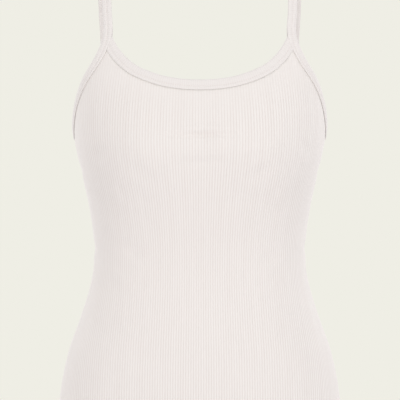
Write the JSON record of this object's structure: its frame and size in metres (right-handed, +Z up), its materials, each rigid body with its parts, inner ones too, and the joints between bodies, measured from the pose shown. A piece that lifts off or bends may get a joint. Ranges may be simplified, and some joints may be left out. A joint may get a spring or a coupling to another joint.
{
  "type": "ribbed tank top, worn form",
  "caption": "Women's fitted rib-knit tank top in worn form, hollow, with scooped neckline, bound armholes that run on as narrow shoulder straps, and a turned hem.",
  "frame": {"origin": "midway between the undersides of the two strap tops, where the shoulders hold the garment", "axes": "+Z up along the body, +Y towards the back, so that the front faces -Y, and +X towards the wearer's left"},
  "size_m": [0.3358, 0.2256, 0.6245],
  "materials": {
    "rib_knit": "matt cotton rib knit, off-white with a faint pink cast",
    "binding_knit": "matt folded rib knit, off-white with a faint pink cast"
  },
  "bodies": {
    "root": {"front_panel": "rib_knit", "back_panel": "rib_knit", "neck_binding_front": "binding_knit", "neck_binding_back": "binding_knit", "strap_binding_left": "binding_knit", "strap_binding_right": "binding_knit"}
  },
  "joints": []
}
